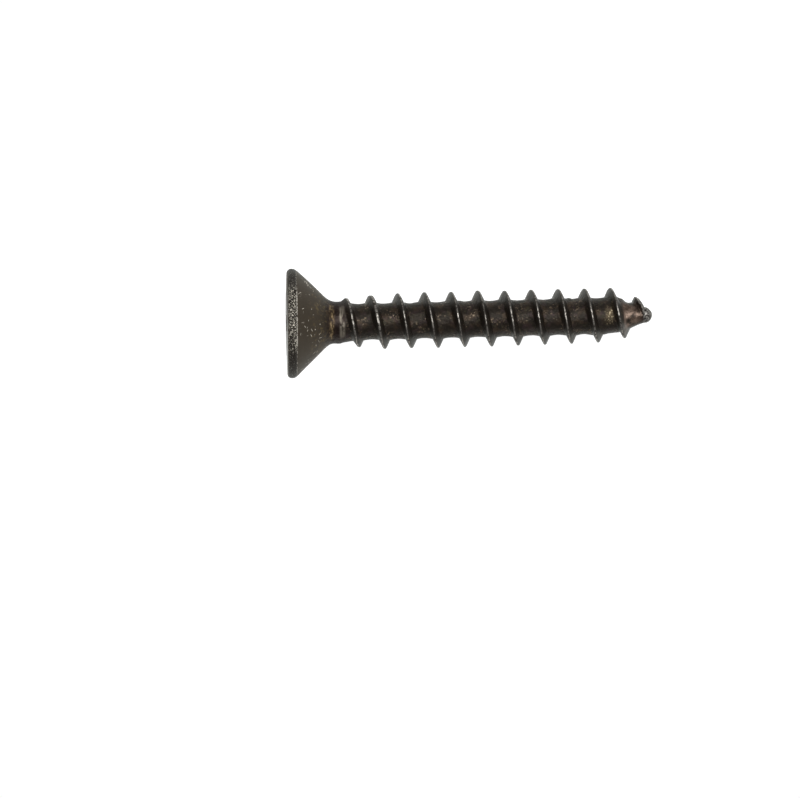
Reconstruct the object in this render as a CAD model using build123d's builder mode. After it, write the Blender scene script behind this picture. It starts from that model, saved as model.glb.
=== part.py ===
"""Countersunk wood screw, 4 mm nominal diameter and 25 mm nominal length.

One piece of steel wire: the head is upset cold and the thread is rolled on, so
the model is one solid.  Origin at the centre of the flat head face, +X along
the axis towards the tip, +Z up.  Millimetres.
"""

import os
from math import ceil, cos, pi, radians, sin, tan

from build123d import *

# Driving dimensions ---------------------------------------------------------

length = 24.7  # head face to tip

# Countersunk head
head_diameter = 7.40
rim_height = 0.64  # head face to the start of the countersink
rim_round = 0.28  # rounding between head face and rim
countersink_angle = 90.0  # included
neck_fillet = 0.45

# Shank
neck_diameter = 2.74  # plain wire under the head
roll_start = 3.45  # where the rolled part begins
roll_full = 4.50  # where the core has reached its own diameter
core_diameter = 2.46
point_start = 22.2  # where the core begins to taper
point_half_angle = 19.5
nose_radius = 0.50

# Rolled thread, right-handed, single start
thread_diameter = 3.72
pitch = 1.80
flank_angle = 50.0  # included
crest_land = 0.08
crest_phase = 9.32  # position of one crest on the +Y side
thread_start = 3.36
lead_in = ((3.36, 2.82), (3.96, 3.22), (4.86, 3.40), (6.66, 3.72))  # position, diameter
point_crest_start = 22.10  # where the crest begins to follow the point
point_crest_slope = 0.40  # radius lost per millimetre
last_tooth = 23.70
runout = 0.45  # from the last full tooth to nothing
embed = 0.10  # depth of the tooth foot inside the core
points_per_turn = 24

# Cross recess, size 2
recess_span = 4.40  # across the wings at the head face
recess_span_bottom = 2.50
recess_wall_depth = 1.90
recess_depth = 2.50
wing_width = 1.00
web_diameter = 2.40  # central cone at the head face
web_diameter_bottom = 1.50
overcut = 0.20  # how far the cutting shapes stand out of the face

# Sheared flat on the nose
shear_normal = (0.62, 0.76, 0.20)
shear_offset = 0.38  # from the centre of the nose radius

# Derived
head_radius = head_diameter / 2
neck_radius = neck_diameter / 2
core_radius = core_diameter / 2
thread_radius = thread_diameter / 2
cone_height = (head_radius - neck_radius) / tan(radians(countersink_angle / 2))
cone_end = rim_height + cone_height
flank_run = tan(radians(flank_angle / 2))
point_slope = tan(radians(point_half_angle))
nose_centre = length - nose_radius
nose_start = nose_centre + nose_radius * sin(radians(point_half_angle))
nose_start_radius = nose_radius * cos(radians(point_half_angle))
thread_end = last_tooth + runout


# Radii along the shank ------------------------------------------------------


def core_at(x):
    """Radius of the core at a distance x from the head face."""
    if x < roll_full:
        share = min(1.0, (roll_full - x) / (roll_full - roll_start))
        return core_radius + (neck_radius - core_radius) * share
    return core_radius - point_slope * max(0.0, x - point_start)


def crest_at(x):
    """Radius of the thread crest at a distance x from the head face."""
    for (x0, d0), (x1, d1) in zip(lead_in, lead_in[1:]):
        if x <= x1:
            return (d0 + (d1 - d0) * (x - x0) / (x1 - x0)) / 2
    radius = thread_radius - point_crest_slope * max(0.0, x - point_crest_start)
    if x > last_tooth:
        loss = radius - core_at(thread_end) + embed
        radius -= loss * (x - last_tooth) / runout
    return radius


def half_land_at(x):
    """Half width of the crest, wider where the thread is not filled yet."""
    unfilled = thread_radius - crest_at(x) if x < lead_in[-1][0] else 0.0
    return crest_land / 2 + unfilled * flank_run


# Tooth ----------------------------------------------------------------------


def rail_point(x, side, foot):
    """Point on one edge of the tooth: side -1 faces the head and 1 the tip."""
    angle = 2 * pi * (x - crest_phase) / pitch
    radius = crest_at(x)
    shift = half_land_at(x)
    if foot:
        shift += max(0.05, radius - core_at(x) + embed) * flank_run
        radius = core_at(x + side * shift) - embed
    return Vector(x + side * shift, radius * cos(angle), radius * sin(angle))


def rail(start, end, side, foot):
    """One edge of the tooth between two positions along the axis."""
    count = ceil((end - start) / pitch * points_per_turn)
    stations = [start + (end - start) * i / count for i in range(count + 1)]
    with BuildLine() as line:
        Spline([rail_point(x, side, foot) for x in stations])
    return line.edges()[0]


def tooth(start, end):
    """One length of the helical tooth, with its foot inside the core."""
    foot_a = rail(start, end, -1, True)
    crest_a = rail(start, end, -1, False)
    crest_b = rail(start, end, 1, False)
    foot_b = rail(start, end, 1, True)
    faces = [
        Face.make_surface_from_curves(foot_a, crest_a),
        Face.make_surface_from_curves(crest_a, crest_b),
        Face.make_surface_from_curves(crest_b, foot_b),
        Face.make_surface_from_curves(foot_b, foot_a),
    ]
    for end_of_rail in (0, 1):
        corners = [r.position_at(end_of_rail) for r in (foot_a, crest_a, crest_b, foot_b)]
        flank_a = Edge.make_line(corners[0], corners[1])
        flank_b = Edge.make_line(corners[3], corners[2])
        faces.append(Face.make_surface_from_curves(flank_a, flank_b))
    return Solid(Shell(faces))


# The tooth is made turn by turn, each turn meeting the next on the -Y side
turns = ceil((thread_end - thread_start) / pitch)
first_joint = crest_phase - pitch / 2
first_joint -= pitch * int((first_joint - thread_start) / pitch)
joints = [first_joint + pitch * i for i in range(turns)]
joints = [thread_start] + [x for x in joints if x < thread_end] + [thread_end]
teeth = [tooth(a, b) for a, b in zip(joints, joints[1:])]


# Screw ----------------------------------------------------------------------

with BuildPart() as screw:
    # Head, neck, core and point in one turn about the axis
    with BuildSketch(Plane.XY):
        with BuildLine():
            Polyline(
                (nose_start, nose_start_radius),
                (point_start, core_radius),
                (roll_full, core_radius),
                (roll_start, neck_radius),
                (cone_end, neck_radius),
                (rim_height, head_radius),
                (0, head_radius),
                (0, 0),
                (length, 0),
            )
            RadiusArc((nose_start, nose_start_radius), (length, 0), nose_radius)
        make_face()
        on_rim = vertices().filter_by_position(Axis.Y, head_radius - 0.01, head_radius + 0.01)
        fillet(on_rim.sort_by(Axis.X)[0], rim_round)
        on_neck = vertices().filter_by_position(Axis.Y, neck_radius - 0.01, neck_radius + 0.01)
        fillet(on_neck.sort_by(Axis.X)[0], neck_fillet)
    revolve(axis=Axis.X)

    # Rolled thread
    add(teeth)

    # Cross recess: two crossed wings and a cone at the centre
    for turn in (0, 90):
        with BuildSketch(Plane.XY.rotated((turn, 0, 0))):
            with BuildLine():
                Polyline(
                    (-overcut, -recess_span / 2),
                    (0, -recess_span / 2),
                    (recess_wall_depth, -recess_span_bottom / 2),
                    (recess_depth, 0),
                    (recess_wall_depth, recess_span_bottom / 2),
                    (0, recess_span / 2),
                    (-overcut, recess_span / 2),
                    close=True,
                )
            make_face()
        extrude(amount=wing_width / 2, both=True, mode=Mode.SUBTRACT)
    with BuildSketch(Plane.XY):
        with BuildLine():
            Polyline(
                (-overcut, 0),
                (-overcut, web_diameter / 2),
                (0, web_diameter / 2),
                (recess_wall_depth, web_diameter_bottom / 2),
                (recess_depth, 0),
                close=True,
            )
        make_face()
    revolve(axis=Axis.X, mode=Mode.SUBTRACT)

    # Sheared flat on the nose
    shear_direction = Vector(shear_normal).normalized()
    shear_origin = Vector(nose_centre, 0, 0) + shear_direction * shear_offset
    with BuildSketch(Plane(origin=shear_origin, z_dir=shear_direction)):
        Circle(nose_radius * 2)
    extrude(amount=nose_radius * 2, mode=Mode.SUBTRACT)

screw.part.label = "screw"

os.makedirs("parts", exist_ok=True)
export_step(screw.part, "parts/screw.step")
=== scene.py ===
"""Looks of the wood screw: one dark oxide-finished steel screw on a white table."""

import math

import bmesh
import bpy
from mathutils import Matrix, Vector, noise


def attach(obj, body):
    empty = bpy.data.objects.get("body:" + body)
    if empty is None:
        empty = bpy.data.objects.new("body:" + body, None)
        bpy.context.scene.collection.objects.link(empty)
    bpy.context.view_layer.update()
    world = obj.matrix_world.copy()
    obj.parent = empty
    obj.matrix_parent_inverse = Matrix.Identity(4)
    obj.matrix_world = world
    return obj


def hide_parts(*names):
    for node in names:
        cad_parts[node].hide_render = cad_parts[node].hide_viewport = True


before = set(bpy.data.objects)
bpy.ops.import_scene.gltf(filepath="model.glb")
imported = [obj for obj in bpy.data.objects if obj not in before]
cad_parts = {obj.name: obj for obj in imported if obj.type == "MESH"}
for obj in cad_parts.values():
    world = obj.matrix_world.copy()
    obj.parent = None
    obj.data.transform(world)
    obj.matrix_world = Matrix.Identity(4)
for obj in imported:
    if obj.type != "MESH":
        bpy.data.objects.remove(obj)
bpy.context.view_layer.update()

MM = 0.001
TAU = 2 * math.pi

# Shape of the screw, millimetres from the head face along +X -----------------
# A table pairs positions along X with values

# Head
HEAD_R = 3.695
RIM_END = 0.64  # where the countersink begins
FACE_ROUND_X, FACE_ROUND_R = 0.32, 0.31  # rounding between the face and the rim
RIM_CROWN, RIM_CROWN_RUN = 0.9, 0.28  # fall of the rim, mm per mm squared, and its run
RIM_FALL = 0.50  # slope of the rim past that run
EDGE_ROUND = 0.07  # rounding of the edge between the rim and the countersink
CONE_R, CONE_SLOPE = 3.600, 0.955  # radius at the rim and radius lost per mm
RAISED = 0.055  # height of the face around the recess above its outer part
RAISED_R = (1.8, 3.1)  # radii between which the face falls by that much
HEAD_LEAN = 0.0157  # the head face is slightly out of square, radians
HEAD_LEAN_FADE = (1.6, 3.4)  # where the lean dies out
AXIS_SHIFT = ((0.6, 0.004), (1.2, 0.028), (3.0, 0.028), (4.2, 0.0))  # a little off centre

# Neck, core and point
NECK_R, NECK_FILLET = 1.385, 0.42
ROLL_START, ROLL_FULL = 3.66, 4.70  # where the neck gives way to the core
CORE_R = 1.262
HOLLOW, HOLLOW_RUN = 0.055, 0.50  # depth and half width of the hollow in mid-root
HOLLOW_FADE, HOLLOW_LOSS = (22.3, 23.6), 0.6  # share of that depth lost on the point
POINT_START = 22.06
POINT_SLOPE = 0.287  # radius lost per mm
POINT_STEEP_START, POINT_STEEP_R, POINT_STEEP = 23.06, 0.955, 0.39
POINT_SOFT, POINT_STEEP_SOFT = 0.10, 0.04  # rounding where the slopes change
POINT_LEAST_R = 0.53
LENGTH = 24.698
NOSE_R = 0.56
NOSE_X = LENGTH - NOSE_R
SHEAR_NORMAL = Vector((0.62, 0.76, 0.20)).normalized()
SHEAR_AT = 0.48  # plane of the shear, from the centre of the nose
SHEAR_REACH = 1.2  # nothing further than this before the nose is sheared
SHEAR_SHARE = 0.6  # share of what is past the plane that is taken off
SHEAR_GRAIN = 0.04  # how torn the sheared end is

# Thread
THREAD_R = 1.872
PITCH = 1.80
PHASE = 9.32  # position of one crest on the +Y side
FLANK = 2.3  # rise of a flank over its run
FOOT_FILLET = 0.05
CREST_SOFT = 0.0006  # rounding at the edges of the crest, mm squared
CREST_TAPER_START, CREST_TAPER = 22.11, 0.375
LAST_TOOTH, LAST_DROP = 23.74, 1.2  # radius lost per mm past the last tooth
# Radius of the crest where the thread rises behind the neck
LEAD_IN = ((3.36, 1.40), (3.96, 1.60), (4.86, 1.70), (5.76, 1.76), (6.66, 1.872))
CREST_LAND = (  # half the width of the crest, wider where the tooth is not filled
    (3.36, 0.10), (4.86, 0.06), (5.36, 0.10), (5.96, 0.10), (6.66, 0.055), (22.9, 0.055), (23.6, 0.140)
)
LEAD_FLANK = ((3.36, 0.50), (3.92, 0.85), (4.82, 1.6), (5.66, 2.3))  # side towards the head
CREST_SHIFT = (  # how far the crest stands off its helix, along X
    (3.36, 0.18), (4.06, 0.14), (4.86, 0.06), (5.66, 0.0), (22.8, 0.0), (23.7, 0.06)
)
UPPER_SHIFT = (  # more of the same on the +Y side
    (4.6, 0.0), (7.5, 0.040), (16.5, 0.045), (18.3, 0.065), (20.1, 0.037), (21.9, -0.008), (23.7, 0.04)
)
CREST_WANDER = (  # how far the crest stands above its plain height
    (3.9, 0.03), (7.5, 0.0), (8.4, 0.0), (9.3, 0.035), (12.0, 0.01), (12.9, 0.065),
    (13.8, 0.02), (15.6, 0.0), (16.5, 0.03), (17.4, -0.02), (18.3, 0.03), (19.2, -0.035),
    (20.1, 0.015), (21.0, -0.07), (21.9, 0.015), (22.8, -0.055), (23.7, 0.06),
)

# Laps and scars left by thread rolling: position, angle in degrees from +Y,
# length along X, width around, height
SCARS = (
    (3.50, 180, 0.26, 16, 0.070),
    (6.61, 178, 0.22, 18, 0.035),
    (8.36, 0, 0.24, 20, -0.030),
    (10.26, 184, 0.14, 12, 0.040),
    (11.76, 10, 0.20, 20, 0.030),
    (13.61, 176, 0.20, 18, -0.045),
    (16.01, 4, 0.14, 12, -0.045),
    (17.36, -8, 0.10, 14, -0.050),
    (19.11, 6, 0.16, 16, 0.055),
    (20.46, 182, 0.25, 20, 0.030),
    (22.42, 4, 0.36, 24, 0.115),
    (22.74, -4, 0.12, 16, 0.060),
    (23.08, 4, 0.16, 20, -0.070),
    (23.92, 2, 0.14, 20, 0.045),
)

# Cross recess, size 2
RECESS_SPAN, RECESS_SPAN_END = 2.20, 1.25  # half of the reach of the wings
WING, WING_END = 0.50, 0.42  # half widths
WEB, WEB_END = 1.20, 0.75
WING_CORNER, WEB_CORNER = 0.12, 0.10
RECESS_WALL, RECESS_DEPTH = 1.90, 2.50
LIP = 0.07  # rounding between the face and the recess

# Mesh: the shank is a spiral strip between two rings
TURN = 96  # points in one turn
FINE = 3 * TURN
RING_START = 0.80
RING_END = 24.20
RING_BLEND = 0.16  # the tooth dies out over this length before the last ring
SEAM_BLEND = 0.80  # distance from the crest past which it dies out towards mid-root
NOSE_BARE = (23.98, 24.16)  # where the bare metal of the sheared end begins


def lerp(a, b, s):
    """a where s is 0 and b where it is 1."""
    return a + (b - a) * s


def smooth(a, b, x):
    """0 below a, 1 above b, smooth between."""
    s = min(1.0, max(0.0, (x - a) / (b - a)))
    return s * s * (3 - 2 * s)


def soft_max(a, b, k):
    """The larger of a and b, with a fillet of about k between them."""
    d = a - b
    return (a + b + math.sqrt(d * d + k * k)) / 2


def soft_min(a, b, k):
    """The smaller of a and b, with a fillet of about k between them."""
    return -soft_max(-a, -b, k)


def filleted(a, b, k):
    """The larger of a and b; where they differ by less than k, a fillet."""
    h = max(0.0, k - abs(a - b)) / k
    return max(a, b) + h * h * k / 4


def along(table, x):
    """Value of a table of (x, value) pairs at x."""
    if x <= table[0][0]:
        return table[0][1]
    for (x0, v0), (x1, v1) in zip(table, table[1:]):
        if x <= x1:
            return lerp(v0, v1, (x - x0) / (x1 - x0))
    return table[-1][1]


def around(x, r, angle):
    """Point at a radius and an angle around the axis."""
    return (x, r * math.cos(angle), r * math.sin(angle))


def wobble(p, scale, seed=0.0):
    """Smooth noise, about -1 to 1; p and scale in millimetres."""
    return noise.noise(Vector((p[0] / scale + seed, p[1] / scale, p[2] / scale)))


def scars(x, angle):
    """Height of the laps and scars."""
    height = 0.0
    for at, degrees, length, width, rise in SCARS:
        u = (x - at) / length
        turn = (angle - math.radians(degrees) + math.pi) % TAU - math.pi
        v = math.degrees(turn) / width
        d = u ** 4 + v * v
        if d < 4:
            height += rise * math.exp(-d * 1.5)
    return height


def core_radius(x):
    """Everything but the tooth: countersink, neck, core and point."""
    cone = CONE_R - CONE_SLOPE * (x - RIM_END)
    r = filleted(cone, NECK_R, NECK_FILLET)
    r = r - (NECK_R - CORE_R) * smooth(ROLL_START, ROLL_FULL, x)
    if x > POINT_START - 0.5:
        r = soft_min(r, CORE_R - POINT_SLOPE * (x - POINT_START), POINT_SOFT)
        r = soft_min(r, POINT_STEEP_R - POINT_STEEP * (x - POINT_STEEP_START), POINT_STEEP_SOFT)
        r = max(r, POINT_LEAST_R)
    return r


def root_radius(x, angle, from_crest):
    """The core with the hollow, the unevenness and the scars of rolling."""
    rolled = smooth(ROLL_START + 0.3, ROLL_FULL + 0.6, x)
    mid = max(0.0, 1.0 - ((PITCH / 2 - from_crest) / HOLLOW_RUN) ** 2)
    r = core_radius(x) - HOLLOW * mid * rolled * (1 - HOLLOW_LOSS * smooth(*HOLLOW_FADE, x))
    p = around(x, 1.4, angle)
    r += (0.016 * wobble(p, 0.9, 3.0) + 0.008 * wobble(p, 0.3, 9.0)) * rolled
    return r + scars(x, angle)


def crest_radius(x):
    """Radius of the crest, before its wander."""
    if x < LEAD_IN[-1][0]:
        return along(LEAD_IN, x)
    r = THREAD_R - CREST_TAPER * max(0.0, x - CREST_TAPER_START)
    if x > LAST_TOOTH:
        r -= LAST_DROP * (x - LAST_TOOTH)
    return r


def crest_shift(x_crest, angle):
    """How far the crest wanders along X from its place on the helix."""
    shift = 0.012 * wobble(around(x_crest * 3, 1.8, angle), 0.7, 47.0) + along(CREST_SHIFT, x_crest)
    return shift + along(UPPER_SHIFT, x_crest) * max(0.0, math.cos(angle))


def surface(x, angle, x_crest):
    """Radius of the shank at x, near the crest at x_crest, and its masks."""
    d = x - x_crest
    core = root_radius(x, angle, abs(d))

    p = around(x_crest * 3, 1.8, angle)
    top = crest_radius(x_crest) + along(CREST_WANDER, x_crest)
    top += 0.010 * wobble(p, 0.8, 21.0) + 0.006 * wobble(p, 0.22, 5.0)
    land = along(CREST_LAND, x_crest) * (1 + 0.25 * wobble(p, 0.6, 33.0))
    shift = crest_shift(x_crest, angle)
    off = abs(d - shift)
    flank = FLANK if d > shift else along(LEAD_FLANK, x_crest)
    past = off - land
    tooth = top - flank * ((past + math.sqrt(past * past + CREST_SOFT)) / 2)

    r = min(soft_max(core, tooth, FOOT_FILLET), HEAD_R)
    r = lerp(r, core, smooth(SEAM_BLEND, PITCH / 2, abs(d)))
    r = lerp(r, core_radius(x), smooth(RING_END - RING_BLEND, RING_END, x))
    standing = smooth(0.02, 0.12, top - core)
    crest = standing * (1 - smooth(0.5 * land, land, off))
    rise = min(1.0, max(0.0, (r - core) / max(0.1, top - core))) * standing
    return r, {"crest": crest, "tooth": rise, "nose": smooth(*NOSE_BARE, x)}


# Mesh ------------------------------------------------------------------------


def offsets(x_crest, angle):
    """Where the rows of one cross-section lie, from one mid-root to the next."""
    land = along(CREST_LAND, x_crest)
    shift = crest_shift(x_crest, angle)
    flank_run = (crest_radius(x_crest) - core_radius(x_crest)) / FLANK
    foot = min(land + max(0.10, flank_run), 0.62)
    half = [land * 0.45, land * 0.85, land + 0.008, land + 0.025, land + 0.055]
    flank_end = max(foot - 0.06, half[-1] + 0.04)
    foot_end = foot + 0.12
    for start, end, count in (
        (half[-1], flank_end, 4),
        (flank_end, foot_end, 4),
        (foot_end, PITCH / 2, 5),
    ):
        half += [lerp(start, end, i / count) for i in range(1, count + 1)]
    both = [-d for d in reversed(half)] + [0.0] + half
    return [d + shift * (1 - abs(d) / (PITCH / 2)) for d in both]


def place(x, r, angle):
    """Point of the surface, in metres, with the head a little out of true."""
    y, z = r * math.cos(angle), r * math.sin(angle)
    tilt = HEAD_LEAN * (1 - smooth(*HEAD_LEAN_FADE, x))
    x, y = x + tilt * (y + HEAD_R), y + along(AXIS_SHIFT, x)
    return Vector((max(0.0, x), y, z)) * MM


def nose_form(p):
    """The sheared form of the end, given to a point of the plain one."""
    if p.x / MM < NOSE_X - SHEAR_REACH:
        return p
    middle = Vector((NOSE_X, 0, 0)) * MM
    beyond = (p - middle).dot(SHEAR_NORMAL) / MM - SHEAR_AT
    if beyond <= 0:
        return p
    grain = wobble(p / MM, 0.16, 61.0) + 0.6 * wobble(p / MM, 0.07, 71.0)
    torn = SHEAR_GRAIN * grain * smooth(0, 0.1, beyond)
    return p - SHEAR_NORMAL * MM * (SHEAR_SHARE * beyond + torn)


class Builder:
    """Collects vertices, faces and the masks of one piece."""

    def __init__(self):
        self.verts = []
        self.faces = []
        names = ("crest", "tooth", "rim", "edge", "nose", "recess", "lip")
        self.masks = {name: [] for name in names}

    def add(self, p, **masks):
        """Adds a vertex and returns its number; a mask left out is 0."""
        self.verts.append(p)
        for name, values in self.masks.items():
            values.append(masks.get(name, 0.0))
        return len(self.verts) - 1

    def strip(self, a, b):
        """Faces between two open rows with the same number of points."""
        for i in range(len(a) - 1):
            self.faces.append((a[i], a[i + 1], b[i + 1], b[i]))

    def band(self, a, b):
        """Closed band between two rings; b may have a multiple of a's points."""
        n, many = len(a), len(b) // len(a)
        for i in range(n):
            far = [b[(i * many + k) % len(b)] for k in range(many, -1, -1)]
            self.faces.append((a[i], a[(i + 1) % n], *far))


def ring_angle(i, count=TURN):
    """Angle of point i of a ring, in step with the ends of the spiral strip."""
    return TAU * (RING_START - PITCH / 2 - PHASE) / PITCH + TAU * i / count


def build_shank(b):
    """One spiral strip, a pitch wide, from the head's ring to the nose's ring."""
    x_first = RING_START - PITCH / 2
    x_last = RING_END + PITCH / 2
    columns = round((x_last - x_first) / PITCH * TURN)
    previous = None
    for t in range(columns + 1):
        x_crest = x_first + PITCH * t / TURN
        angle = TAU * (x_crest - PHASE) / PITCH
        column = []
        for d in offsets(x_crest, angle):
            x = min(max(x_crest + d, RING_START), RING_END)
            r, masks = surface(x, angle, x_crest)
            column.append(b.add(nose_form(place(x, r, angle)), **masks))
        if previous:
            b.strip(previous, column)
        previous = column


def build_nose(b, steps=34, crowding=1.9):
    """Rings from the end of the strip to the blunt end, closer towards the end."""
    rows = []
    for s in range(steps + 1):
        x = lerp(RING_END, LENGTH, 1 - (1 - s / steps) ** crowding)
        ball = math.sqrt(max(0.0, NOSE_R ** 2 - max(0.0, x - NOSE_X) ** 2))
        r = 0.0 if s == steps else min(core_radius(x), ball)
        rows.append([b.add(nose_form(place(x, r, ring_angle(i))), nose=1.0) for i in range(TURN)])
    for lower, painted_highlight_top in zip(rows, rows[1:]):
        b.band(lower, painted_highlight_top)


def rim_radius(x):
    """The rim, crowned, and the countersink, with a rounded edge between."""
    run = x - FACE_ROUND_X
    rim = HEAD_R - RIM_CROWN * min(run, RIM_CROWN_RUN) ** 2 - RIM_FALL * max(0.0, run - RIM_CROWN_RUN)
    return -filleted(-rim, -core_radius(x), EDGE_ROUND)


def head_rows(start=0.78, rim_count=17, round_count=9):
    """Rows (x, r, masks) from the countersink over the rim to the flat face."""
    rows = []
    for i in range(rim_count + 1):
        x = lerp(start, FACE_ROUND_X, i / rim_count)
        edge = max(0.0, 1 - abs(x - RIM_END) / 0.045)
        rows.append((x, rim_radius(x), {"edge": edge, "rim": 1 - smooth(0.59, 0.67, x)}))
    for i in range(1, round_count + 1):
        a = math.radians(90 * i / round_count)
        x = FACE_ROUND_X * (1 - math.sin(a))
        r = HEAD_R - FACE_ROUND_R * (1 - math.cos(a))
        rows.append((x, r, {"rim": 1 - smooth(0.25, 0.9, i / round_count)}))
    return rows


def recess_radius(angle, depth, grow=0.0):
    """Outline of the cross recess around the axis, at a depth below the face."""
    taper = min(1.0, max(0.0, depth / RECESS_WALL))
    span = lerp(RECESS_SPAN, RECESS_SPAN_END, taper) + grow
    half_width = lerp(WING, WING_END, taper) + grow
    web = lerp(WEB, WEB_END, taper) + grow
    quarter = math.pi / 2
    off = abs((angle + quarter / 2) % quarter - quarter / 2)
    side = half_width / max(0.05, math.sin(off))
    return soft_max(soft_min(side, span, WING_CORNER), web, WEB_CORNER)


# Each of the four below gives x, r and the masks of one point of the head


def rim_point(angle, x, r, masks):
    """Point of the rim or the countersink, dented where the masks say so."""
    p = around(x, r, angle)
    rough = 0.016 * wobble(p, 0.22, 11.0) + 0.010 * wobble(p, 0.11, 17.0)
    dent = abs(rough * max(masks["rim"], 0.35 * masks.get("edge", 0.0)))
    return x + 0.5 * dent, r - dent, masks


def face_point(angle, share):
    """Point of the face; share is 0 at its outer edge and 1 at the recess."""
    r = lerp(HEAD_R - FACE_ROUND_R, recess_radius(angle, 0, LIP), share)
    dip = 0.006 * abs(wobble(around(0, r, angle), 0.5, 29.0))
    raised = 1 - smooth(*RAISED_R, r)
    lip = max(smooth(0.85, 1.0, share), 0.45 * raised)
    return dip - RAISED * raised, r, {"lip": lip}


def wall_point(angle, depth, grow, masks):
    """Point of the wall of the recess."""
    return depth, recess_radius(angle, depth, grow), masks


def floor_point(angle, share):
    """Point of the bottom of the recess; share is 1 in the middle."""
    r = recess_radius(angle, RECESS_WALL) * (1 - share)
    return lerp(RECESS_WALL, RECESS_DEPTH, share), r, {"recess": 1.0}


def fine_ring(b, point, *settings):
    """One ring of the head."""
    row = []
    for i in range(FINE):
        angle = ring_angle(i, FINE)
        x, r, masks = point(angle, *settings)
        row.append(b.add(place(x, r, angle), **masks))
    return row


def build_head(b, face_count=10, lip_count=4, wall_count=12, floor_count=5):
    """The rim, the flat face and the cross recess, from the outside inwards."""
    start_r = core_radius(RING_START)
    rows = [[b.add(place(RING_START, start_r, ring_angle(i))) for i in range(TURN)]]
    for x, r, masks in head_rows():
        rows.append(fine_ring(b, rim_point, x, r, masks))
    for k in range(1, face_count + 1):
        rows.append(fine_ring(b, face_point, k / face_count))
    for k in range(1, lip_count + 1):
        share = k / lip_count
        a = math.radians(90 * share)
        depth = LIP * (1 - math.cos(a)) - RAISED * (1 - share)
        masks = {"recess": share, "lip": 1 - 0.5 * share}
        rows.append(fine_ring(b, wall_point, depth, LIP * (1 - math.sin(a)), masks))
    for k in range(1, wall_count + 1):
        depth = lerp(LIP, RECESS_WALL, k / wall_count)
        rows.append(fine_ring(b, wall_point, depth, 0.0, {"recess": 1.0}))
    for k in range(1, floor_count + 1):
        rows.append(fine_ring(b, floor_point, k / floor_count))
    for outer, inner in zip(rows, rows[1:]):
        b.band(outer, inner)


def make_screw():
    """The whole screw as one closed mesh."""
    b = Builder()
    build_shank(b)
    build_head(b)
    build_nose(b)
    mesh = bpy.data.meshes.new("wood_screw")
    mesh.from_pydata(b.verts, [], b.faces)
    for name, values in b.masks.items():
        layer = mesh.attributes.new(name, "FLOAT", "POINT")
        layer.data.foreach_set("value", values)
    obj = bpy.data.objects.new("wood_screw", mesh)
    bpy.context.collection.objects.link(obj)
    bm = bmesh.new()
    bm.from_mesh(mesh)
    bmesh.ops.remove_doubles(bm, verts=bm.verts, dist=0.0005 * MM)
    bmesh.ops.dissolve_degenerate(bm, edges=bm.edges, dist=0.0002 * MM)
    bmesh.ops.recalc_face_normals(bm, faces=bm.faces)
    bm.to_mesh(mesh)
    bm.free()
    mesh.polygons.foreach_set("use_smooth", [True] * len(mesh.polygons))
    return obj


screw = make_screw()
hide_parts("screw")
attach(screw, "root")


# Material --------------------------------------------------------------------


def rgb(r, g, b):
    """Linear colour as the shader takes it."""
    return (r, g, b, 1.0)


# Coats; a place with two or three has the darkest first
HEAD_DARK, HEAD_LIGHT = rgb(0.030, 0.0235, 0.016), rgb(0.043, 0.0335, 0.0235)
THREAD_DARK, THREAD_LIGHT = rgb(0.006, 0.0043, 0.003), rgb(0.0165, 0.012, 0.0085)
TOOTH_COAT = rgb(0.025, 0.0215, 0.0180)
RUBBED_CORE = rgb(0.085, 0.063, 0.043)
NECK_DARK, NECK_LIGHT = rgb(0.0045, 0.0015, 0.0012), rgb(0.015, 0.007, 0.0058)
# Gold and pale rings of the neck: ring tints, laid only on its top side as painted highlight
GOLD_DARK, GOLD_LIGHT = rgb(0.028, 0.018, 0.008), rgb(0.190, 0.135, 0.072)
PALE_RING = rgb(0.135, 0.118, 0.094)
STRAW = rgb(0.085, 0.062, 0.030)
POINT_DARK = rgb(0.019, 0.011, 0.0075)
# Copper of the point: a real tint, laid only on the top side as painted highlight
COPPER_DARK, COPPER_LIGHT = rgb(0.060, 0.040, 0.029), rgb(0.190, 0.135, 0.105)
# Top of the last full root: painted highlight and painted glints
LAST_ROOT_HIGHLIGHT, LAST_ROOT_GLINT = rgb(0.048, 0.036, 0.020), rgb(0.340, 0.280, 0.180)
# The rim's grains take the last colour on the side facing the lamps: a painted highlight
RIM_DARK, RIM_GRAIN, RIM_GRAIN_HIGHLIGHT = rgb(0.016, 0.013, 0.0105), rgb(0.15, 0.137, 0.115), rgb(0.56, 0.52, 0.44)
FACE_DARK, FACE_LIGHT = rgb(0.040, 0.035, 0.028), rgb(0.090, 0.078, 0.064)
RECESS_COAT = rgb(0.030, 0.026, 0.021)

# Stains in the roots of the thread
BROWN, WINE, OLIVE = rgb(0.029, 0.0185, 0.0115), rgb(0.024, 0.0145, 0.0145), rgb(0.031, 0.027, 0.015)

# Bare metal, and the tint of its reflections
SCRATCHED, CREST_STEEL, EDGE_STEEL = rgb(0.50, 0.46, 0.39), rgb(0.225, 0.21, 0.19), rgb(0.56, 0.52, 0.46)
SHEARED_DARK, SHEARED_LIGHT = rgb(0.034, 0.031, 0.028), rgb(0.20, 0.19, 0.175)
SHEEN = rgb(0.80, 0.83, 0.79)

# Places along the screw: from, to and softness, in mm
STRAW_BAND = (1.66, 2.76, 0.35)
NECK_BAND = (2.76, 4.01, 0.15)
GOLD_BAND = (2.92, 3.20, 0.12)
PALE_BAND = (3.60, 3.94, 0.08)
LAST_ROOT_BAND = (21.50, 22.00, 0.16)
POINT_BAND = (22.62, 24.60, 0.25)
COPPER_BAND = (22.70, 24.00, 0.12)

# Scratches: length and width in mm of the disc-shaped cells, turns in degrees,
# offset.  The turns set the discs' normals square to the screw's axis
NICKS = ((1.0, 0.12, (0, -20, 90), 41), (0.8, 0.10, (0, 50, 90), 17), (0.7, 0.11, (0, -75, 90), 29))


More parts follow.
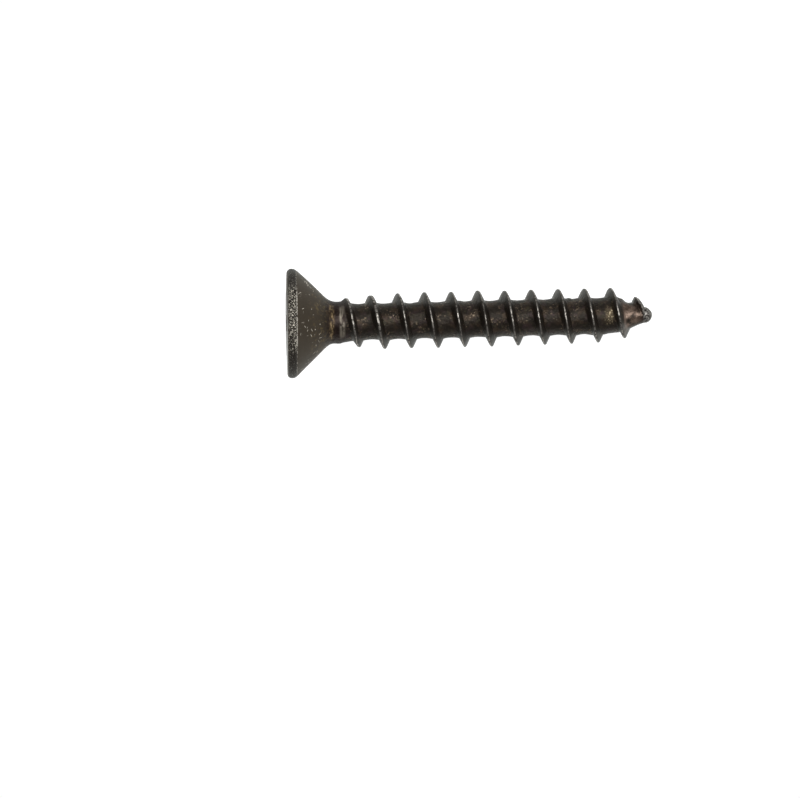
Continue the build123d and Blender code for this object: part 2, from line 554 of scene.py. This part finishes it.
class Graph:
    """Short names for the few node kinds that the material uses."""

    def __init__(self, material):
        material.use_nodes = True
        self.tree = material.node_tree
        self.shader = self.tree.nodes["Principled BSDF"]
        self.coords = self.node("ShaderNodeTexCoord").outputs["Object"]
        split = self.node("ShaderNodeSeparateXYZ")
        self.put(split.inputs[0], self.coords)
        self.x, self.y, self.z = (split.outputs[axis] for axis in "XYZ")

    def node(self, kind, **settings):
        """Adds a node."""
        node = self.tree.nodes.new(kind)
        for key, value in settings.items():
            setattr(node, key, value)
        return node

    def put(self, socket, value):
        """Links a socket to a value, or sets it where the value is uniform."""
        if isinstance(value, bpy.types.NodeSocket):
            self.tree.links.new(value, socket)
        else:
            socket.default_value = value

    def math(self, operation, a, b=0.0, clamp=False):
        """One arithmetic node; a or b may be a socket or a number."""
        node = self.node("ShaderNodeMath", operation=operation, use_clamp=clamp)
        self.put(node.inputs[0], a)
        self.put(node.inputs[1], b)
        return node.outputs[0]

    def times(self, first, *others):
        """Product of two or more values."""
        for other in others:
            first = self.math("MULTIPLY", first, other)
        return first

    def most(self, first, *others):
        """The largest of two or more values."""
        for other in others:
            first = self.math("MAXIMUM", first, other)
        return first

    def total(self, first, *others):
        """Sum of two or more values."""
        for other in others:
            first = self.math("ADD", first, other)
        return first

    def less(self, a, b):
        """a less b, kept between 0 and 1."""
        return self.math("SUBTRACT", a, b, clamp=True)

    def rest(self, value):
        """1 less the value."""
        return self.math("SUBTRACT", 1.0, value)

    def step(self, value, low, high):
        """0 below low, 1 above high, smooth between."""
        node = self.node("ShaderNodeMapRange", interpolation_type="SMOOTHSTEP")
        self.put(node.inputs["Value"], value)
        self.put(node.inputs["From Min"], low)
        self.put(node.inputs["From Max"], high)
        return node.outputs["Result"]

    def past(self, position, low, high):
        """The same for a position, with low and high in mm."""
        return self.step(position, low * MM, high * MM)

    def band(self, low, high, soft):
        """1 between two positions along the screw, in mm."""
        rise = self.past(self.x, low - soft, low + soft)
        fall = self.past(self.x, high - soft, high + soft)
        return self.less(rise, fall)

    def mixed(self, kind, share, a, b):
        """a where share is 0 and b where it is 1."""
        node = self.node("ShaderNodeMix", data_type=kind)
        self.put(node.inputs["Factor"], share)
        self.put(node.inputs["A"], a)
        self.put(node.inputs["B"], b)
        return node.outputs["Result"]

    def mix(self, share, a, b):
        """Colour a where share is 0 and b where it is 1."""
        return self.mixed("RGBA", share, a, b)

    def blend(self, share, a, b):
        """Number a where share is 0 and b where it is 1."""
        return self.mixed("FLOAT", share, a, b)

    def mask(self, name):
        """One of the masks that the mesh carries."""
        return self.node("ShaderNodeAttribute", attribute_name=name).outputs["Fac"]

    def mapped(self, size, at):
        """Coordinates in which a feature of that size (mm, by axis) is 1 unit."""
        node = self.node("ShaderNodeMapping")
        self.put(node.inputs["Vector"], self.coords)
        node.inputs["Scale"].default_value = [1 / (s * MM) for s in size]
        node.inputs["Location"].default_value = (at, at, at)
        return node.outputs["Vector"]

    def noise(self, size, detail, at=0.0, roughness=0.5):
        """Noise with features of that size in mm, one number or one per axis."""
        if not isinstance(size, tuple):
            size = (size, size, size)
        node = self.node("ShaderNodeTexNoise")
        self.put(node.inputs["Vector"], self.mapped(size, at))
        node.inputs["Scale"].default_value = 1.0
        node.inputs["Detail"].default_value = detail
        node.inputs["Roughness"].default_value = roughness
        return node.outputs["Fac"]

    def patches(self, low, high, *settings):
        """Patches of noise: 0 where it is under low and 1 where it is over high."""
        return self.step(self.noise(*settings), low, high)

    def cells(self, vector, inner, outer):
        """1 within inner of the points of a Voronoi pattern, 0 beyond outer."""
        node = self.node("ShaderNodeTexVoronoi")
        self.put(node.inputs["Vector"], vector)
        node.inputs["Scale"].default_value = 1.0
        return self.rest(self.step(node.outputs["Distance"], inner, outer))

    def dots(self, size, radius, at):
        """Sparse dots; size of a cell in mm, radius as a share of it."""
        return self.cells(self.mapped((size, size, size), at), radius * 0.6, radius)

    def nicks(self, length, width, turn, at):
        """Sparse short straight scratches, length and width in mm of their cells."""
        node = self.node("ShaderNodeMapping", vector_type="TEXTURE")
        self.put(node.inputs["Vector"], self.coords)
        node.inputs["Scale"].default_value = [s * MM for s in (width, length, length)]
        node.inputs["Rotation"].default_value = [math.radians(t) for t in turn]
        node.inputs["Location"].default_value = [at * MM] * 3
        return self.cells(node.outputs["Vector"], 0.12, 0.19)


class OxideSteel(Graph):
    """Brown-black oxide on rolled steel, worn to bare metal on its edges."""

    def __init__(self, material):
        super().__init__(material)
        self.find_places()
        self.find_wear()
        shader = self.shader.inputs
        self.put(shader["Base Color"], self.color())
        self.put(shader["Roughness"], self.finish())
        self.put(shader["Metallic"], self.blend(self.most(self.worn, self.nose), 0.55, 1.0))
        self.put(shader["Specular Tint"], SHEEN)
        self.put(shader["Specular IOR Level"], 0.25)
        self.put(shader["Normal"], self.relief())

    def find_places(self):
        """Masks from the mesh, and places told by position."""
        self.crest, self.tooth, self.nose = self.mask("crest"), self.mask("tooth"), self.mask("nose")
        self.rim, self.edge = self.mask("rim"), self.mask("edge")
        self.recess, self.lip = self.mask("recess"), self.mask("lip")
        self.face = self.rest(self.past(self.x, 0.02, 0.06))
        self.shank = self.past(self.x, 2.2, 3.0)
        self.root = self.less(self.shank, self.tooth)
        self.neck = self.band(*NECK_BAND)
        self.point = self.band(*POINT_BAND)
        # Top side of the neck, facing the lamps, where its painted highlight goes
        self.painted_highlight_top = self.past(self.z, 0.70, 1.20)
        # Side of the head that faces the lamps, where the rim is given a painted highlight
        self.painted_highlight_side = self.past(self.total(self.z, self.times(self.y, 0.12)), 2.5, 3.4)

    def find_wear(self):
        """Where the coat is rubbed thin, grained, ringed or worn through; the rim's grains and worn edge are
        laid on thicker on the side facing the lamps, as painted highlight.
        """
        fleck = self.patches(0.54, 0.64, 0.14, 3, 3, 0.6)
        self.rubbed = self.times(fleck, self.patches(0.48, 0.62, 0.8, 2, 44), self.root)
        self.on_point = self.times(self.point, self.patches(0.30, 0.55, 0.5, 2, 9), self.root)
        self.rings = self.noise((0.10, 2.2, 2.2), 3, 8)
        grain = self.noise((0.06, 0.11, 0.11), 3, 31, 0.65)
        # Rim grains: real grain, set denser on the side facing the lamps as painted highlight
        self.grain = self.blend(self.painted_highlight_side, self.step(grain, 0.58, 0.68), self.step(grain, 0.52, 0.62))

        crest = self.times(self.crest, self.patches(0.39, 0.59, 0.16, 3, 71, 0.7))
        edge = self.times(self.edge, self.patches(0.42, 0.60, 0.20, 3, 91, 0.7))
        # Worn edge: real wear, at full strength only on the side facing the lamps, a painted highlight
        self.worn_edge_and_highlight = self.times(edge, self.blend(self.painted_highlight_side, 0.25, 1.0))
        lip = self.times(self.lip, self.patches(0.46, 0.62, 0.20, 3, 81, 0.7), 0.8)
        # worn takes in the edge's painted highlight as well as real wear on crests and lip
        self.worn = self.most(crest, self.worn_edge_and_highlight, lip)

    def color(self):
        """The coat and the stains, then bare metal over them."""
        color = self.plain_coat()
        color = self.on_neck(color)
        color = self.on_tip(color)
        color = self.on_head(color)
        color = self.mix(self.times(self.scratches(), 0.8), color, SCRATCHED)
        color = self.mix(self.worn, color, CREST_STEEL)
        color = self.mix(self.worn_edge_and_highlight, color, EDGE_STEEL)
        sheared = self.mix(self.patches(0.44, 0.62, 0.12, 3, 26, 0.6), SHEARED_DARK, SHEARED_LIGHT)
        return self.mix(self.nose, color, sheared)

    def plain_coat(self):
        """Even and brown on the head, blacker and blotched on the thread."""
        head = self.mix(self.noise(0.9, 3), HEAD_DARK, HEAD_LIGHT)
        thread = self.mix(self.noise(0.6, 3, 5), THREAD_DARK, THREAD_LIGHT)
        color = self.mix(self.shank, head, thread)
        brown = self.patches(0.48, 0.66, 0.55, 3, 12)
        wine = self.patches(0.52, 0.66, 0.40, 3, 23)
        olive = self.patches(0.56, 0.68, 0.35, 3, 37)
        for stain, share, tint in ((brown, 0.75, BROWN), (wine, 0.6, WINE), (olive, 0.5, OLIVE)):
            color = self.mix(self.times(self.root, share, stain), color, tint)
        color = self.mix(self.times(self.tooth, 0.6), color, TOOTH_COAT)
        return self.mix(self.rubbed, color, RUBBED_CORE)

    def on_neck(self, color):
        """Rings of gold, wine and grey from the heading tool, and straw before them; the gold and grey rings
        are laid only on the top side, as painted highlight.
        """
        patchy = self.noise((0.30, 0.55, 0.55), 2, 19)
        broken = self.patches(0.40, 0.66, (0.09, 0.25, 0.25), 3, 21, 0.6)
        # Gold and grey rings kept to the top side: partly real tint, partly painted highlight
        gold = self.times(self.band(*GOLD_BAND), self.step(patchy, 0.34, 0.56), self.painted_highlight_top)
        pale = self.times(self.band(*PALE_BAND), self.step(patchy, 0.28, 0.50))
        pale = self.times(pale, self.step(self.rings, 0.26, 0.58), self.painted_highlight_top)
        straw = self.times(self.band(*STRAW_BAND), self.patches(0.50, 0.64, 0.22, 4, 58, 0.6), 0.7)
        color = self.mix(self.times(self.neck, 0.75), color, self.mix(self.rings, NECK_DARK, NECK_LIGHT))
        color = self.mix(gold, color, self.mix(broken, GOLD_DARK, GOLD_LIGHT))
        color = self.mix(pale, color, PALE_RING)
        return self.mix(straw, color, STRAW)

    def on_tip(self, color):
        """Coppery where the coat of the point is thin, laid only on its top side as painted highlight; on
        top of the last full root a straw painted highlight with painted glints.
        """
        copper = self.mix(self.patches(0.30, 0.70, 0.30, 3, 52, 0.6), COPPER_DARK, COPPER_LIGHT)
        # Top side of the point, where the copper is laid as painted highlight
        top = self.past(self.z, 0.35, 0.90)
        color = self.mix(self.times(self.on_point, 0.8), color, POINT_DARK)
        color = self.mix(self.times(self.on_point, top, self.band(*COPPER_BAND)), color, copper)
        # Top of the last full root: painted highlight, with painted glints in it
        last_root = self.times(self.band(*LAST_ROOT_BAND), self.past(self.z, 0.95, 1.20))
        painted_glints = self.times(last_root, self.patches(0.54, 0.68, 0.12, 3, 63, 0.6), self.root)
        color = self.mix(self.times(last_root, 0.7), color, LAST_ROOT_HIGHLIGHT)
        return self.mix(painted_glints, color, LAST_ROOT_GLINT)

    def on_head(self, color):
        """A dark rim with bright grains, brightest on the side facing the lamps as painted highlight, a
        mottled face and a dark recess.
        """
        # Grain colour, brightened on the side facing the lamps as painted highlight
        grain_and_highlight = self.mix(self.painted_highlight_side, RIM_GRAIN, RIM_GRAIN_HIGHLIGHT)
        color = self.mix(self.rim, color, self.mix(self.grain, RIM_DARK, grain_and_highlight))
        mottle = self.mix(self.noise(0.30, 4, 77, 0.6), FACE_DARK, FACE_LIGHT)
        color = self.mix(self.face, color, mottle)
        return self.mix(self.times(self.recess, 0.8), color, RECESS_COAT)

    def scratches(self):
        """Clusters of nicks and dots on the head; the rim has only the dots."""
        clusters = self.patches(0.51, 0.57, 0.80, 2, 66)
        nicks = self.most(*(self.nicks(*settings) for settings in NICKS))
        nicks = self.times(clusters, self.rest(self.rim), nicks)
        dots = self.times(self.dots(0.42, 0.12, 41), self.patches(0.50, 0.60, 1.4, 2, 90))
        before_neck = self.rest(self.past(self.x, 2.2, 2.6))
        return self.times(self.most(nicks, dots), before_neck)

    def finish(self):
        """Roughness: satin head, tighter neck and point, open grain elsewhere."""
        texture = self.noise(0.25, 3, 18)
        ringed = self.blend(self.painted_highlight_top, 0.50, self.blend(self.rings, 0.24, 0.40))
        finish = self.blend(self.shank, self.blend(texture, 0.48, 0.62), self.blend(texture, 0.36, 0.54))
        for place_mask, roughness in (
            (self.face, 0.28),
            (self.neck, ringed),
            (self.on_point, 0.26),
            (self.rubbed, 0.28),
            (self.times(self.grain, self.rim), 0.30),
            (self.worn, 0.32),
            (self.nose, self.blend(texture, 0.36, 0.50)),
        ):
            finish = self.blend(place_mask, finish, roughness)
        return finish

    def relief(self):
        """Bump, from heights in millimetres."""
        fine = self.times(self.noise(0.06, 3, 2), 0.004)
        core = self.less(self.root, self.times(self.point, 0.6))
        lumps = self.times(self.noise(0.20, 3, 6, 0.6), 0.045, core)
        turned = self.times(self.rings, self.neck, 0.020)
        coarse = self.times(self.grain, self.rim, 0.020)
        torn = self.times(self.noise(0.12, 3, 16, 0.6), self.nose, 0.035)
        bump = self.node("ShaderNodeBump")
        bump.inputs["Distance"].default_value = MM
        self.put(bump.inputs["Height"], self.total(fine, lumps, turned, coarse, torn))
        return bump.outputs["Normal"]


oxide_steel = bpy.data.materials.new("oxide_steel")
OxideSteel(oxide_steel)
screw.data.materials.append(oxide_steel)


# Table, light and camera -----------------------------------------------------

# The camera looks nearly straight down: LEAN and ROLL in radians, the rest in mm
CAMERA_HEIGHT = 450.0
LENS, SENSOR = 300.7125, 36.0
LEAN = math.radians(1.835)
ROLL = 0.025
AIM_X, AIM_Y = 7.549, -5.261
VIEW_UP = Vector((-math.sin(LEAN), 0, math.cos(LEAN)))
AXIS_RIGHT = Vector((math.cos(LEAN), 0, math.sin(LEAN)))
AXIS_UP = Vector((0, 1, 0))

TABLE_CREST_X = 21.7  # the last crest that rests on the table
TABLE_TILT = math.atan2(HEAD_R - THREAD_R, TABLE_CREST_X - RIM_END)
TABLE_GAP = 0.01  # between the table and the rim
TABLE_AT = Vector((RIM_END, 0, -HEAD_R - TABLE_GAP)) * MM
TABLE_RADIUS, TABLE_SIDES = 36.0, 96
TABLE_MIDDLE = 10.0  # from the rim's resting place to the centre of the disc
TABLE_GLOW = 0.95
HORIZON, OVERHEAD = 1.02, 0.26
HORIZON_TOP, OVERHEAD_START = 0.08, 0.38  # heights in a sphere of radius 1
LAMP_TARGET = Vector((12, 0, 0)) * MM
LAMP_DISTANCE = 600.0
# Half sizes in mm, radiance, and degrees off the camera's line along X and Y
KEY_LAMP = (173.0, 240.0, 8.5, -2.0, 12.0)
END_LAMP = (150.0, 160.0, 9.0, 37.0, 5.0)


def make_table():
    """White disc that the rim and the thread rest on, lit through from below."""
    mesh = bpy.data.meshes.new("table")
    right = Vector((math.cos(TABLE_TILT), 0, math.sin(TABLE_TILT)))
    middle = TABLE_AT + right * TABLE_MIDDLE * MM
    bm = bmesh.new()
    for i in range(TABLE_SIDES):
        a = TAU * i / TABLE_SIDES
        side = Vector((0, TABLE_RADIUS * MM * math.sin(a), 0))
        bm.verts.new(middle + right * TABLE_RADIUS * MM * math.cos(a) + side)
    bm.faces.new(bm.verts)
    bm.to_mesh(mesh)
    bm.free()
    obj = bpy.data.objects.new("table", mesh)
    bpy.context.collection.objects.link(obj)
    mat = bpy.data.materials.new("table_white")
    mat.use_nodes = True
    shader = mat.node_tree.nodes["Principled BSDF"]
    shader.inputs["Base Color"].default_value = (0.25, 0.25, 0.25, 1)
    shader.inputs["Roughness"].default_value = 0.9
    shader.inputs["Emission Color"].default_value = (1, 1, 1, 1)
    shader.inputs["Emission Strength"].default_value = TABLE_GLOW
    mesh.materials.append(mat)


def make_world():
    """White all round the horizon, dimmer overhead."""
    world = bpy.data.worlds.new("studio")
    bpy.context.scene.world = world
    world.use_nodes = True
    nodes, links = world.node_tree.nodes, world.node_tree.links
    coords = nodes.new("ShaderNodeTexCoord")
    split = nodes.new("ShaderNodeSeparateXYZ")
    links.new(coords.outputs["Generated"], split.inputs[0])
    level = nodes.new("ShaderNodeMapRange")
    level.interpolation_type = "SMOOTHSTEP"
    level.inputs["From Min"].default_value = HORIZON_TOP
    level.inputs["From Max"].default_value = OVERHEAD_START
    level.inputs["To Min"].default_value = HORIZON
    level.inputs["To Max"].default_value = OVERHEAD
    links.new(split.outputs["Z"], level.inputs["Value"])
    links.new(level.outputs["Result"], nodes["Background"].inputs["Strength"])
    nodes["Background"].inputs["Color"].default_value = (1, 1, 1, 1)


def stand(obj, at, right, up, back):
    """Adds a camera or lamp at a point, with its own X, Y and Z along three directions."""
    bpy.context.collection.objects.link(obj)
    rotation = Matrix((right, up, back)).transposed()
    obj.matrix_world = Matrix.Translation(at) @ rotation.to_4x4()


def make_camera():
    """Camera close to straight down onto the table."""
    data = bpy.data.cameras.new("camera")
    data.sensor_width = SENSOR
    data.lens = LENS
    data.clip_start = 0.001
    data.clip_end = 2.0
    camera = bpy.data.objects.new("camera", data)
    eye = (AXIS_RIGHT * AIM_X + AXIS_UP * AIM_Y + VIEW_UP * CAMERA_HEIGHT) * MM
    right = AXIS_RIGHT * math.cos(ROLL) - AXIS_UP * math.sin(ROLL)
    up = AXIS_RIGHT * math.sin(ROLL) + AXIS_UP * math.cos(ROLL)
    stand(camera, eye, right, up, VIEW_UP)
    bpy.context.scene.camera = camera


def add_lamp(name, half_x, half_y, radiance, lean_x, lean_y):
    """Oval soft lamp that faces the middle of the screw."""
    data = bpy.data.lights.new(name, "AREA")
    data.shape = "ELLIPSE"
    data.size, data.size_y = 2 * half_x * MM, 2 * half_y * MM
    data.energy = radiance * math.pi * math.pi * half_x * half_y * MM * MM
    toward = VIEW_UP + AXIS_RIGHT * math.tan(math.radians(lean_x))
    toward = (toward + AXIS_UP * math.tan(math.radians(lean_y))).normalized()
    across = AXIS_UP.cross(toward).normalized()
    at = LAMP_TARGET + toward * LAMP_DISTANCE * MM
    stand(bpy.data.objects.new(name, data), at, across, toward.cross(across), toward)


make_table()
make_world()
bpy.context.scene.view_settings.view_transform = "Standard"
make_camera()
add_lamp("key_lamp", *KEY_LAMP)
add_lamp("end_lamp", *END_LAMP)

bpy.context.view_layer.update()
